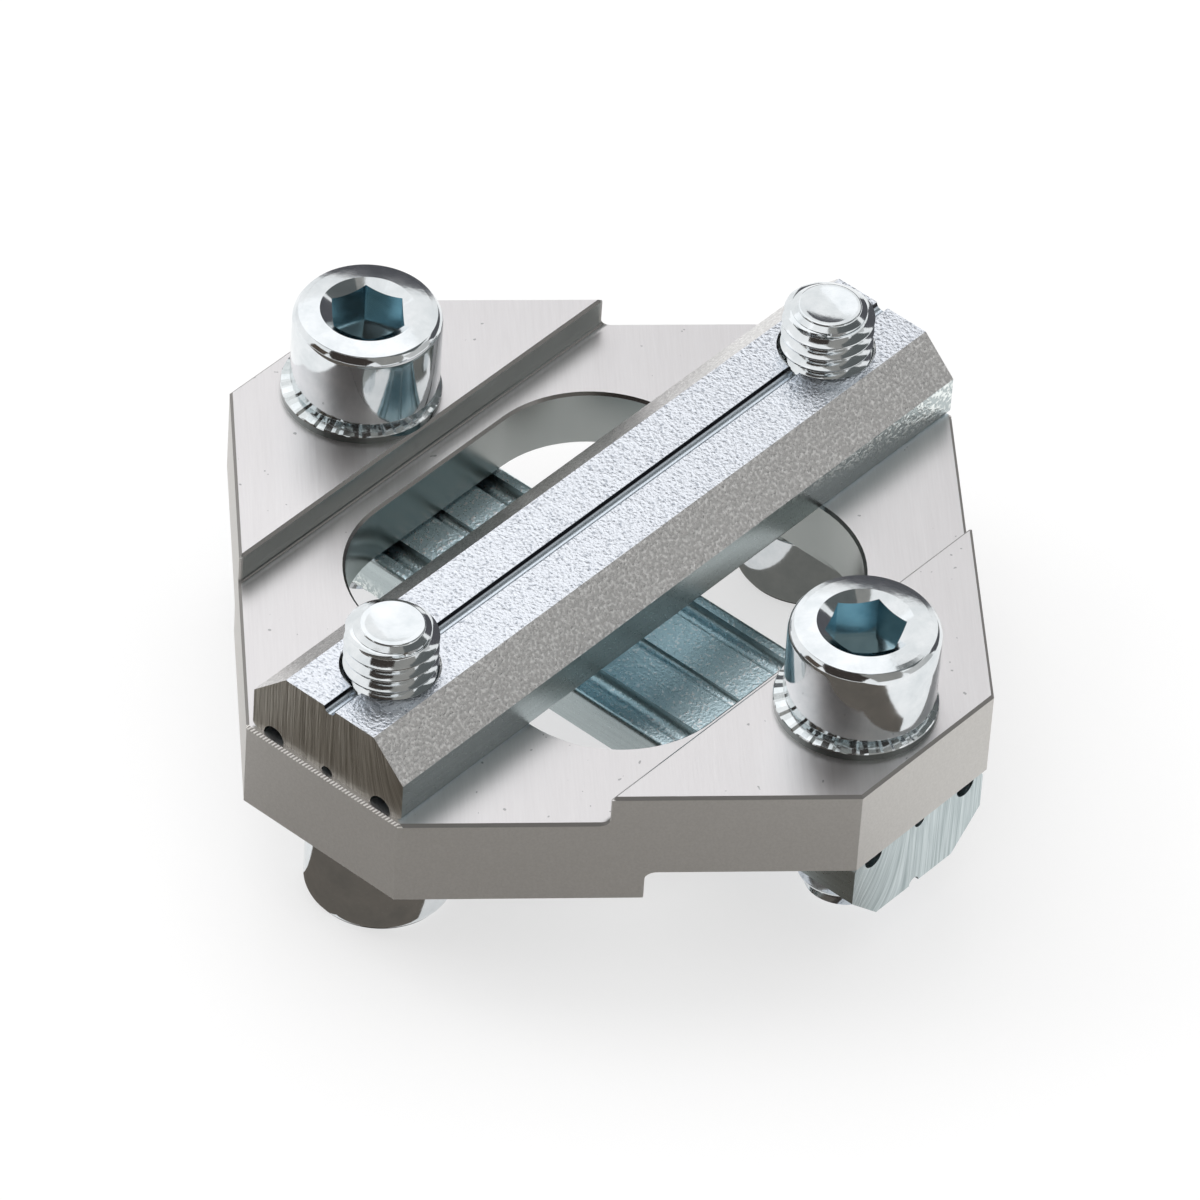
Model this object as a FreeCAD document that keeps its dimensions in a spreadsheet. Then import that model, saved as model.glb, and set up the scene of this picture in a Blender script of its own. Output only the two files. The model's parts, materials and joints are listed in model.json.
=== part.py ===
import FreeCAD, Part
import os

import Sketcher

# Cross connecting plate for two crossing profiles. Millimetres. The origin is the middle of the plate,
# +X runs along the upper slot bar, +Y along the lower one, and +Z points up out of the upper channel.

doc = FreeCAD.newDocument("cross_plate")
vector, turn = FreeCAD.Vector, FreeCAD.Rotation
axis_x, axis_z = vector(1, 0, 0), vector(0, 0, 1)

# Driving dimensions
dimensions = [
    ("plate_side", 61.8, "plate, across two opposite long sides"),
    ("cut_face_margin", 7.7, "plate, from each screw to the cut corner beside it"),
    ("plate_thickness", 11.6, "plate, over the raised lands"),
    ("channel_width", 41.2, "channel that takes a 40 mm profile"),
    ("channel_depth", 2.9, "depth of each channel below its lands"),
    ("channel_root", 0.6, "radius where a channel wall meets its floor"),
    ("window_ledge", 2.1, "channel floor left between the window and each wall of the channel"),
    ("window_corner", 10.4, "radius of the window's corners"),
    ("edge_break", 0.25, "chamfer on the plate's sharp edges"),
    ("hole_play", 1.8, "plate holes, wider than the screw by this much"),
    ("bar_end_margin", 7.4, "slot bar, from each of its two holes to the sawn end"),
    ("bar_top_width", 9.7, "slot bar, across its flat top"),
    ("bar_height", 7.2, "slot bar, from base to top"),
    ("flank_width", 3.4, "slanted flank, across"),
    ("flank_height", 3.3, "slanted flank, up"),
    ("base_round", 0.5, "radius on the bar's two long base edges"),
    ("notch_radius", 0.6, "radius of the groove along the middle of the bar's top"),
    ("relief_spacing", 11.8, "distance between the two round grooves in the base"),
    ("relief_radius", 1.1, "radius of those grooves"),
    ("scribe_radius", 0.6, "radius of the small groove on the base's centre line"),
    ("hole_flare", 0.2, "countersink round the ends of a threaded hole"),
    ("thread_gap", 0.05, "gap all round between screw and threaded hole"),
    ("upper_shift", 0.3, "how far the upper bar sits towards +X in the holes' play"),
    ("lower_shift", -0.1, "how far the lower bar sits towards +Y in the holes' play"),
    ("screw_diameter", 8.0, "thread size"),
    ("screw_length", 22.0, "from under the head to the tip"),
    ("tip_chamfer", 1.1, "chamfer at the end of the thread"),
    ("head_diameter", 12.8, "cap screw head"),
    ("head_height", 7.6, "cap screw head"),
    ("head_round", 0.6, "radius round the top of the head"),
    ("socket_flats", 6.0, "hexagon socket, across flats"),
    ("socket_depth", 4.2, "hexagon socket, from the top of the head"),
    ("socket_flare", 0.69, "countersink beyond the socket's corners"),
    ("washer_outer", 13.8, "lock washer, outside"),
    ("washer_play", 0.9, "lock washer, hole wider than the screw by this much"),
    ("washer_height", 1.4, "lock washer, over its cone"),
    ("washer_edge", 0.75, "lock washer, thickness"),
    ("washer_setback", 0.1, "from a washer to the edge of the channel beside it"),
]

sheet = doc.addObject("Spreadsheet::Sheet", "sizes")
for row, (name, number, meaning) in enumerate(dimensions, start=1):
    sheet.set(f"A{row}", name)
    sheet.set(f"B{row}", str(number))
    sheet.set(f"C{row}", meaning)
    sheet.setAlias(f"B{row}", name)
doc.recompute()


class Length:
    """A number, together with the formula that ties it to the sheet."""

    def __init__(self, number, formula=None):
        self.number = number
        self.formula = formula or f"({number})"

    def joined(self, other, sign, number):
        return Length(number, f"({self.formula} {sign} {as_length(other).formula})")

    def __add__(self, other):
        return self.joined(other, "+", self.number + as_length(other).number)

    def __sub__(self, other):
        return self.joined(other, "-", self.number - as_length(other).number)

    def __mul__(self, other):
        return self.joined(other, "*", self.number * as_length(other).number)

    def __truediv__(self, other):
        return self.joined(other, "/", self.number / as_length(other).number)

    def __neg__(self):
        return self * -1


def as_length(given):
    return given if isinstance(given, Length) else Length(given)


class Sizes:
    """Every size of the sheet, by its name."""


size = Sizes()
for name, number, meaning in dimensions:
    setattr(size, name, Length(sheet.get(name), "sizes." + name))

# The screws stand as close to the channels as their washers allow, and the rest lies round the screws
screw_offset = (size.channel_width + size.washer_outer) / 2 + size.washer_setback
corner_span = (screw_offset + size.cut_face_margin) * 2
bar_length = (screw_offset + size.bar_end_margin) * 2
bar_width = size.bar_top_width + size.flank_width * 2
window_width = size.channel_width - size.window_ledge * 2

# Heights and radii that several pieces share
land_height = size.plate_thickness / 2
floor_height = land_height - size.channel_depth
head_seat = land_height + size.washer_height
thread_radius = size.screw_diameter / 2
bar_hole_radius = thread_radius + size.thread_gap

# The washers lie off their screws, as far as their holes let them: mostly to the left and a little back
washer_slack = size.washer_play / 2 - size.thread_gap
washer_left, washer_back = washer_slack * 0.75, washer_slack * 0.25


def plane(body, role):
    """One of the body's own origin planes."""
    return next(feature for feature in body.Origin.OriginFeatures if feature.Role == role)


def sketch_on(body, name, role, height=0, across=0, angle=0):
    """An empty sketch on an origin plane, raised, shifted and turned by an angle in degrees."""
    sketch = body.newObject("Sketcher::SketchObject", name)
    sketch.AttachmentSupport = [(plane(body, role), "")]
    sketch.MapMode = "FlatFace"
    sketch.AttachmentOffset = FreeCAD.Placement(vector(0, 0, 0), turn(axis_z, angle))
    sketch.setExpression("AttachmentOffset.Base.x", as_length(across).formula)
    sketch.setExpression("AttachmentOffset.Base.z", as_length(height).formula)
    return sketch


def hold(sketch, kind, length, *where):
    """Adds a constraint whose value follows the length's formula."""
    index = sketch.addConstraint(Sketcher.Constraint(kind, *where, length.number))
    sketch.setExpression(f"Constraints[{index}]", length.formula)


def hold_point(sketch, geometry, point, across, up):
    """Ties a point of the sketch to two lengths, measured from the sketch's origin."""
    origin = (-1, 1)
    hold(sketch, "DistanceX", as_length(across), *origin, geometry, point)
    hold(sketch, "DistanceY", as_length(up), *origin, geometry, point)


def outline(sketch, corners):
    """A closed outline of straight sides through corners that are given as pairs of lengths."""
    points = [vector(as_length(across).number, as_length(up).number, 0) for across, up in corners]
    first = sketch.GeometryCount
    for start, end in zip(points, points[1:] + points[:1]):
        sketch.addGeometry(Part.LineSegment(start, end), False)
    for index, (across, up) in enumerate(corners):
        following = first + (index + 1) % len(corners)
        sketch.addConstraint(Sketcher.Constraint("Coincident", first + index, 2, following, 1))
        hold_point(sketch, first + index, 1, across, up)


def rectangle(sketch, width, length):
    """A rectangle round the sketch's origin."""
    across, up = width / 2, length / 2
    outline(sketch, [(-across, -up), (across, -up), (across, up), (-across, up)])


def circle(sketch, across, up, radius):
    """A circle round a point that is given as a pair of lengths."""
    centre = vector(as_length(across).number, as_length(up).number, 0)
    index = sketch.addGeometry(Part.Circle(centre, axis_z, radius.number), False)
    hold_point(sketch, index, 3, across, up)
    hold(sketch, "Radius", radius, index)


def pad(body, name, sketch, length):
    """Fills the sketch by half the length on each side of its plane."""
    feature = body.newObject("PartDesign::Pad", name)
    feature.Profile = sketch
    feature.Midplane = True
    feature.setExpression("Length", length.formula)
    return feature


def pocket_through(body, name, sketch):
    """Cuts the sketch through the whole body, both ways."""
    feature = body.newObject("PartDesign::Pocket", name)
    feature.Profile = sketch
    feature.Type = "ThroughAll"
    feature.Midplane = True
    return feature


def pocket(body, name, sketch, depth, upwards=False):
    """Cuts the sketch to a depth, down from its plane or up."""
    feature = body.newObject("PartDesign::Pocket", name)
    feature.Profile = sketch
    feature.Reversed = upwards
    feature.setExpression("Length", depth.formula)
    return feature


def spun(body, kind, name, sketch):
    """Turns the sketch round its own upright axis, as a solid or as a cut."""
    feature = body.newObject(f"PartDesign::{kind}", name)
    feature.Profile = sketch
    feature.ReferenceAxis = (sketch, ["V_Axis"])
    feature.Angle = 360
    return feature


def dress(body, kind, name, base, chosen, size_name, length):
    """A fillet or chamfer on the edges of the base that the test picks."""
    doc.recompute()
    edges = [f"Edge{index}" for index, edge in enumerate(base.Shape.Edges, start=1) if chosen(edge)]
    feature = body.newObject(f"PartDesign::{kind}", name)
    feature.Base = (base, edges)
    feature.setExpression(size_name, length.formula)
    return feature


def new_body(name, rotation, base):
    """A body with its own label, turned and then moved to its place."""
    body = doc.addObject("PartDesign::Body", name)
    body.Label = name
    body.Placement = FreeCAD.Placement(vector(0, 0, 0), rotation)
    for letter, length in zip("xyz", base):
        body.setExpression(f"Placement.Base.{letter}", as_length(length).formula)
    return body


def same(first, second):
    """True where a measure of an edge equals a length."""
    return abs(first - as_length(second).number) < 0.01


def level(edge, *heights):
    """True for an edge that lies flat at one of the heights, above or below the middle."""
    box = edge.BoundBox
    return same(box.ZLength, 0) and any(same(abs(box.ZMin), height) for height in heights)


def upright(edge):
    return same(edge.BoundBox.XLength, 0) and same(edge.BoundBox.YLength, 0)


# Plate: a square turned by 45 degrees, so that its cut corners lie on X and Y
def channel_root(edge):
    """The long inner edges where a channel's walls meet its floor."""
    box, middle, half = edge.BoundBox, edge.CenterOfMass, size.channel_width / 2
    along_x = box.ZMin > 0 and same(box.YLength, 0) and same(abs(middle.y), half)
    along_y = box.ZMin < 0 and same(box.XLength, 0) and same(abs(middle.x), half)
    return level(edge, floor_height) and (along_x or along_y)


def outside_edge(edge):
    """Flat edges of the lands and of the channel floors, apart from where the roots' arcs end."""
    box, middle = edge.BoundBox, edge.CenterOfMass
    straight_x, straight_y = same(box.YLength, 0), same(box.XLength, 0)
    inner = size.channel_width / 2 - size.channel_root
    root_end = (straight_x and same(abs(middle.y), inner)) or (straight_y and same(abs(middle.x), inner))
    return level(edge, land_height) or (level(edge, floor_height) and not root_end)


def window_corner(edge):
    middle, half = edge.CenterOfMass, window_width / 2
    return upright(edge) and same(abs(middle.x), half) and same(abs(middle.y), half)


def window_rim(edge):
    box, half = edge.BoundBox, window_width.number / 2 + 0.01
    reach = max(abs(box.XMin), abs(box.XMax), abs(box.YMin), abs(box.YMax))
    return same(box.ZLength, 0) and reach < half


def make_plate():
    body = new_body("cross_plate", turn(), (0, 0, 0))
    square = sketch_on(body, "square", "XY_Plane", angle=45)
    rectangle(square, size.plate_side, size.plate_side)
    block = pad(body, "block", square, size.plate_thickness)
    corner_leg = size.plate_side - corner_span / 2 ** 0.5
    dress(body, "Chamfer", "cut_corners", block, upright, "Size", corner_leg)
    for name, height, upwards, angle in (("upper", land_height, False, 0), ("lower", -land_height, True, 90)):
        strip = sketch_on(body, name + "_strip", "XY_Plane", height, angle=angle)
        rectangle(strip, corner_span * 2, size.channel_width)
        pocket(body, name + "_channel", strip, size.channel_depth, upwards)
    rooted = dress(body, "Fillet", "roots", body.Tip, channel_root, "Radius", size.channel_root)
    dress(body, "Chamfer", "broken_edges", rooted, outside_edge, "Size", size.edge_break)
    opening = sketch_on(body, "opening", "XY_Plane")
    rectangle(opening, window_width, window_width)
    window = pocket_through(body, "window", opening)
    rounded = dress(body, "Fillet", "window_corners", window, window_corner, "Radius", size.window_corner)
    dress(body, "Chamfer", "window_rims", rounded, window_rim, "Size", size.edge_break)
    holes = sketch_on(body, "hole_circles", "XY_Plane")
    for across, up in ((1, 0), (-1, 0), (0, 1), (0, -1)):
        circle(holes, screw_offset * across, screw_offset * up, thread_radius + size.hole_play / 2)
    pocket_through(body, "screw_holes", holes)


# Slot bar, in its own frame: base on z = 0, length along X
def base_edge(edge):
    return level(edge, 0) and same(edge.BoundBox.YLength, 0) and edge.BoundBox.XLength > 1


def make_bar(name, rotation, base):
    body = new_body(name, rotation, base)
    section = sketch_on(body, "section", "YZ_Plane")
    side, top = bar_width / 2, size.bar_top_width / 2
    shoulder = size.bar_height - size.flank_height
    outline(section, [(-side, 0), (side, 0), (side, shoulder), (top, size.bar_height),
                      (-top, size.bar_height), (-side, shoulder)])
    bar = pad(body, "bar", section, bar_length)
    dress(body, "Fillet", "base_edges", bar, base_edge, "Radius", size.base_round)
    grooves = sketch_on(body, "grooves", "YZ_Plane")
    for radius, across, up in ((size.relief_radius, size.relief_spacing / 2, 0),
                               (size.relief_radius, -size.relief_spacing / 2, 0),
                               (size.scribe_radius, 0, 0), (size.notch_radius, 0, size.bar_height)):
        circle(grooves, across, up, radius)
    pocket_through(body, "long_grooves", grooves)
    mouth = bar_hole_radius + size.hole_flare
    for label, offset in (("right", screw_offset), ("left", -screw_offset)):
        bore = sketch_on(body, label + "_bore", "XZ_Plane", across=offset)
        outline(bore, [(0, 0), (mouth, 0), (bar_hole_radius, size.hole_flare),
                       (bar_hole_radius, size.bar_height - size.hole_flare), (mouth, size.bar_height),
                       (0, size.bar_height)])
        spun(body, "Groove", label + "_threaded_hole", bore)


# Cap screw, in its own frame: underside of the head on z = 0, thread pointing down
def head_rim(edge):
    return level(edge, size.head_height) and same(edge.BoundBox.XLength, size.head_diameter)


def make_screw(name, rotation, base):
    body = new_body(name, rotation, base)
    half = sketch_on(body, "half_section", "XZ_Plane")
    head, tip = size.head_diameter / 2, thread_radius - size.tip_chamfer
    outline(half, [(0, -size.screw_length), (tip, -size.screw_length),
                   (thread_radius, size.tip_chamfer - size.screw_length), (thread_radius, 0),
                   (head, 0), (head, size.head_height), (0, size.head_height)])
    blank = spun(body, "Revolution", "blank", half)
    dress(body, "Fillet", "head_rim", blank, head_rim, "Radius", size.head_round)
    corner = size.socket_flats / 3 ** 0.5
    mouth = corner + size.socket_flare
    cone = sketch_on(body, "cone_section", "XZ_Plane")
    foot = size.head_height - size.socket_flare / 3 ** 0.5
    outline(cone, [(0, foot), (corner, foot), (mouth, size.head_height), (0, size.head_height)])
    spun(body, "Groove", "socket_countersink", cone)
    hexagon = sketch_on(body, "hexagon", "XY_Plane", size.head_height)
    ring = [turn(axis_z, 60 * index).multVec(vector(1, 0, 0)) for index in range(6)]
    outline(hexagon, [(corner * point.x, corner * point.y) for point in ring])
    pocket(body, "socket", hexagon, size.socket_depth)


# Conical lock washer, in its own frame: outer edge on z = 0, bore edge at its full height
def make_washer(name, rotation, base):
    body = new_body(name, rotation, base)
    half = sketch_on(body, "half_section", "XZ_Plane")
    bore, outer = thread_radius + size.washer_play / 2, size.washer_outer / 2
    outline(half, [(bore, size.washer_height - size.washer_edge), (outer, 0),
                   (outer, size.washer_edge), (bore, size.washer_height)])
    spun(body, "Revolution", "cone", half)


heads_up, heads_down = turn(), turn(axis_x, 180)
quarter_turn = turn(axis_z, 90)
make_plate()
make_bar("upper_slot_bar", heads_up, (size.upper_shift, 0, floor_height))
make_bar("lower_slot_bar", quarter_turn.multiply(heads_down), (0, size.lower_shift, -floor_height))

# Each screw: its side of the plate, which way its head points, its place, and its socket's turn
stations = [
    ("back", heads_up, 1, (0, screw_offset + size.lower_shift), 45),
    ("front", heads_up, 1, (0, -screw_offset + size.lower_shift), 22),
    ("left", heads_down, -1, (-screw_offset + size.upper_shift, 0), 10),
    ("right", heads_down, -1, (screw_offset + size.upper_shift, 0), 35),
]
for side, facing, sign, (across, along), socket_turn in stations:
    seat = (across, along, head_seat * sign)
    make_screw("cap_screw_" + side, facing.multiply(turn(axis_z, socket_turn)), seat)
    leaning_seat = (as_length(across) - washer_left, as_length(along) + washer_back, land_height * sign)
    make_washer("rib_washer_" + side, facing, leaning_seat)

doc.recompute()
for item in doc.Objects:
    if "Invalid" in item.State or "Error" in item.State:
        raise RuntimeError(f"{item.Name} did not build: {item.State}")

bodies = [item for item in doc.Objects if item.TypeId == "PartDesign::Body"]
for body in bodies:
    if body.Shape.isNull() or not body.Shape.isValid() or len(body.Shape.Solids) != 1:
        raise RuntimeError(f"{body.Label} is not one valid solid")

os.makedirs("parts", exist_ok=True)
for body in bodies:
    body.Shape.exportStep(f"parts/{body.Label}.step")
    box = body.Shape.BoundBox
    print(f"{body.Label:18s} {body.Shape.Volume:9.1f} mm3  x {box.XMin:7.2f} {box.XMax:7.2f}"
          f"  y {box.YMin:7.2f} {box.YMax:7.2f}  z {box.ZMin:7.2f} {box.ZMax:7.2f}")
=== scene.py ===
# %% [markdown]
# A cross connecting plate joins two 40 mm aluminium profiles that cross. A milled plate has a channel for
# each profile, one above and one below, and four cap screws pull two slot bars against it. The solid model
# already has the true sizes, so this lesson only gives it its looks: edges, threads, ribs, metal and light.

# %% Load the solid model
import json
import math

import bmesh
import bpy
from mathutils import Matrix, Vector

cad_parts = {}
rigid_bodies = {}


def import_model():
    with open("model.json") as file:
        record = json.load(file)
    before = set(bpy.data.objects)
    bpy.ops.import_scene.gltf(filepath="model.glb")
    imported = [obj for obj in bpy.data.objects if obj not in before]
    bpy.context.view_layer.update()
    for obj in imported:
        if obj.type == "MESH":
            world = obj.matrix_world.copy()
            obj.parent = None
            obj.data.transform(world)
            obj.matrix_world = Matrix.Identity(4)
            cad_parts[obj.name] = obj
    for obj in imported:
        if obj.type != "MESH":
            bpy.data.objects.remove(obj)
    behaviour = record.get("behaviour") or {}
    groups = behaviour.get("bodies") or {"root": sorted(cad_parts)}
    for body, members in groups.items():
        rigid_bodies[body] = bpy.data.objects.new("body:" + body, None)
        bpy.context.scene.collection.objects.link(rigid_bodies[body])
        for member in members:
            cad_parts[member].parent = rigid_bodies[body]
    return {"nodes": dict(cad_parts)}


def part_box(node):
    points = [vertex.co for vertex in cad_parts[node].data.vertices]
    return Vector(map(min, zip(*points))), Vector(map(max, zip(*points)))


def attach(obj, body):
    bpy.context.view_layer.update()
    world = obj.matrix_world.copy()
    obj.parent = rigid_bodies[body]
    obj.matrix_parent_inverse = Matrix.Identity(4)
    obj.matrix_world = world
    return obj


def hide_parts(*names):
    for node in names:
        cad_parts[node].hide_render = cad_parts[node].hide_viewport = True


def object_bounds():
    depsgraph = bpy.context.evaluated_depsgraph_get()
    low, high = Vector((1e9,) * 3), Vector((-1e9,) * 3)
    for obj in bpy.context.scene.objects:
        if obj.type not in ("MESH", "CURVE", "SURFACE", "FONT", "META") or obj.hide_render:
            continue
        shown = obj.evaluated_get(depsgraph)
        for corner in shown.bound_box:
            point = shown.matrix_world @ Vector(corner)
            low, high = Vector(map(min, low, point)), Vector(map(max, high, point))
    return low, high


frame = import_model()
cad_box = [list(corner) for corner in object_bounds()]
print("solid model, corners in metres:", cad_box)

# %% [markdown]
# Blender counts in metres and a machinist in millimetres, so every size below is a number times mm.
# Where the boxes round the solid model's pieces give a size, it is read from them, which keeps both models
# together. The other sizes of the real thing are written here once more. A distance below tiny counts as
# none where faces or edges are chosen by their place.

# %% Units and sizes
mm = 0.001
tiny = 0.1 * mm
sides_up = ("back", "front")
plate_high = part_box("cross_plate")[1]
bar_low, bar_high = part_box("upper_slot_bar")
screw_low, screw_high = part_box("cap_screw_back")
washer_low, washer_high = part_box("rib_washer_back")
land_height = plate_high.z
floor_height = bar_low.z
head_seat = washer_high.z
head_height = screw_high.z - head_seat
screw_length = head_seat - screw_low.z
head_radius = 6.4 * mm
thread_pitch = 1.25 * mm
groove_radius = 0.6 * mm
read_sizes = {"head seat": head_seat, "head height": head_height, "screw length": screw_length}
print({name: round(size / mm, 2) for name, size in read_sizes.items()}, "in mm")

# %% [markdown]
# The photograph was taken from far away with a long lens, looking down at about 43 degrees. The camera is
# placed by its azimuth, elevation and a small roll, and a tiny shift moves the picture to the same place in
# the frame.

# %% Camera
camera_azimuth = math.radians(-51.43)
camera_elevation = math.radians(42.84)
camera_roll = math.radians(4.04)
camera_distance = 0.899
picture_pixels = 1200
focal_pixels = 10686
shift_pixels = (-3.6, -7.4)
back = Vector((math.sin(camera_azimuth) * math.cos(camera_elevation),
               -math.cos(camera_azimuth) * math.cos(camera_elevation), math.sin(camera_elevation)))
level_right = Vector((math.cos(camera_azimuth), math.sin(camera_azimuth), 0))
level_away = Vector((-math.sin(camera_azimuth), math.cos(camera_azimuth), 0))
steep_up = back.cross(level_right)
right = math.cos(camera_roll) * level_right + math.sin(camera_roll) * steep_up
up = math.cos(camera_roll) * steep_up - math.sin(camera_roll) * level_right
camera_data = bpy.data.cameras.new("camera")
camera = bpy.data.objects.new("camera", camera_data)
bpy.context.scene.collection.objects.link(camera)
camera_turn = Matrix((right, up, back)).transposed().to_4x4()
camera.matrix_world = Matrix.Translation(back * camera_distance) @ camera_turn
camera_data.sensor_width = 36
camera_data.lens = focal_pixels / picture_pixels * camera_data.sensor_width
camera_data.shift_x = shift_pixels[0] / picture_pixels
camera_data.shift_y = shift_pixels[1] / picture_pixels
camera_data.clip_start = 0.05
bpy.context.scene.camera = camera
print("lens", round(camera_data.lens), "mm at", camera_distance, "m")

# %% [markdown]
# Materials are small programs made of nodes. Value wraps the output of a node, so that an expression such
# as 1 - mask adds the maths nodes by itself. Nodes adds every other node through one method, and Finish is
# the material of one kind of surface.

# %% Shader helpers
class Value:
    """The output of a node, which can be used in sums."""

    def __init__(self, nodes, socket):
        self.nodes = nodes
        self.socket = socket

    def maths(self, operation, *numbers):
        return self.nodes.add("ShaderNodeMath", {"operation": operation}, dict(enumerate(numbers)))

    def __add__(self, other):
        return self.maths("ADD", self, other)

    def __radd__(self, other):
        return self.maths("ADD", other, self)

    def __sub__(self, other):
        return self.maths("SUBTRACT", self, other)

    def __rsub__(self, other):
        return self.maths("SUBTRACT", other, self)

    def __mul__(self, other):
        return self.maths("MULTIPLY", self, other)

    def __rmul__(self, other):
        return self.maths("MULTIPLY", other, self)

    def __abs__(self):
        return self.maths("ABSOLUTE", self)

    def between(self, low, high):
        """0 below low and 1 above high, with a straight ramp in between."""
        return self.nodes.add("ShaderNodeMapRange", {"clamp": True},
                              {"Value": self, "From Min": low, "From Max": high})

    def others(self):
        """Every output of the node that this one comes from."""
        return [Value(self.nodes, output) for output in self.socket.node.outputs]

    def parts(self):
        """The three parts of a vector."""
        return self.nodes.add("ShaderNodeSeparateXYZ", {}, {0: self}).others()


class Nodes:
    """The nodes of a material or of the world."""

    def __init__(self, tree):
        self.tree = tree

    def add(self, kind, settings, inputs, output=0):
        """A new node: its settings first, then the numbers, colours or links of its sockets."""
        made = self.tree.nodes.new(kind)
        for setting, choice in settings.items():
            setattr(made, setting, choice)
        for key, given in inputs.items():
            if isinstance(given, Value):
                self.tree.links.new(given.socket, made.inputs[key])
            elif made.inputs[key].type == "RGBA":
                made.inputs[key].default_value = (*given, 1)
            else:
                made.inputs[key].default_value = given
        return Value(self, made.outputs[output])

    def blend(self, factor, first, second):
        """A colour between two colours."""
        return self.add("ShaderNodeMix", {"data_type": "RGBA"}, {0: factor, 6: first, 7: second}, 2)

    def seen_directly(self):
        """1 for what the camera sees, also in metal or through glass, and 0 for light on its way."""
        path = self.add("ShaderNodeLightPath", {}, {}, "Is Camera Ray")
        by_name = {value.socket.name: value for value in path.others()}
        return (path + by_name["Is Glossy Ray"] + by_name["Is Transmission Ray"]).between(0, 1)

    def surface(self, shader):
        """Makes a shader the one that shows."""
        output = next(node for node in self.tree.nodes if node.type.startswith("OUTPUT"))
        self.tree.links.new(shader.socket, output.inputs["Surface"])


class Finish(Nodes):
    """The material of one kind of surface."""

    def __init__(self, name, constants):
        self.material = bpy.data.materials.new(name)
        self.material.use_nodes = True
        super().__init__(self.material.node_tree)
        self.shader = self.tree.nodes["Principled BSDF"]
        for socket, constant in constants.items():
            self.shader.inputs[socket].default_value = constant
        self.point = self.add("ShaderNodeTexCoord", {}, {}, "Object")
        self.facing = Value(self, self.point.socket.node.outputs["Normal"])

    def vector(self, x, y, z):
        return self.add("ShaderNodeCombineXYZ", {}, {"X": x, "Y": y, "Z": z})

    def noise(self, vector, scale, detail=2.0, roughness=0.5):
        return self.add("ShaderNodeTexNoise", {"noise_dimensions": "3D"},
                        {"Vector": vector, "Scale": scale, "Detail": detail, "Roughness": roughness})

    def feed(self, socket, given):
        self.tree.links.new(given.socket, self.shader.inputs[socket])

    def relief(self, height, distance, strength):
        """Feeds a height into the surface's normal."""
        bump = self.add("ShaderNodeBump", {}, {"Height": height, "Distance": distance, "Strength": strength})
        self.feed("Normal", bump)


# %% [markdown]
# The plate is milled aluminium. Its flat faces carry a fine straight grain from the cutter, its outer sides
# are sawn and duller, and the walls of the window and the channels are smooth, with a darker colour that is
# painted shade in the recesses. Small pits are scattered over the flat faces, and the narrow chamfers are
# painted dark, a painted reflection of dark surroundings. One material does it all: it reads which way a
# face points and where it lies, and chooses the grain and the colour from that.

# %% Plate material
aluminium = Finish("machined_aluminium", {})
x, y, z = aluminium.point.parts()
facing_z = abs(aluminium.facing.parts()[2])
flat = facing_z.between(0.80, 0.95)
chamfered = facing_z.between(0.3, 0.5) * (1 - facing_z.between(0.80, 0.85))
end_face = plate_high.x - 0.35 * mm
corner_face = 43.1 * mm
outside = (abs(x) + abs(y)).between(corner_face, corner_face + 0.2 * mm)
for distance in (abs(x), abs(y)):
    outside = outside + distance.between(end_face, end_face + 0.1 * mm)
side = outside.between(0, 1) * (1 - flat)
diagonal = 0.7071
along, across = (x + y) * diagonal, (x - y) * diagonal
grain = aluminium.noise(aluminium.vector(along * 260, across * 5200, z * 260), 1.0, 3.0, 0.6)
wide_grain = aluminium.noise(aluminium.vector(along * 60, across * 900, z * 60), 1.0, 2.0)
clouds = aluminium.noise(aluminium.point, 90.0, 3.0)
sand = aluminium.noise(aluminium.point, 4200.0, 2.0, 0.7)
pits = aluminium.noise(aluminium.point, 1500.0, 1.0).between(0.235, 0.215)
brushed = grain * 0.6 + wide_grain * 0.25 + clouds * 0.15
flat_colour = aluminium.blend(brushed, (0.74, 0.72, 0.725), (0.94, 0.925, 0.93))
flat_colour = aluminium.blend(pits * 0.6, flat_colour, (0.25, 0.25, 0.26))
# Painted shade: the walls of the window and the channels are coloured darker than the flat faces.
wall_colour_painted_shade = aluminium.blend(clouds, (0.30, 0.32, 0.31), (0.46, 0.48, 0.46))
side_colour = aluminium.blend(sand, (0.60, 0.585, 0.56), (0.74, 0.725, 0.70))
colour = aluminium.blend(flat, wall_colour_painted_shade, flat_colour)
colour = aluminium.blend(side, colour, side_colour)
# Painted reflection: the narrow chamfers are coloured dark, as if they mirrored dark surroundings.
colour = aluminium.blend(chamfered, colour, (0.30, 0.29, 0.28))
print("plate colours made with", len(aluminium.tree.nodes), "nodes")

# %% [markdown]
# Where the cutter left a channel, a fine comb of burr stands on the edge of the end face. It is a wave
# texture of short teeth, which shows only on the chamfer and only below the channel's edges. Then the
# colour, the roughness and the relief of the plate are fed to its shader.

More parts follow.
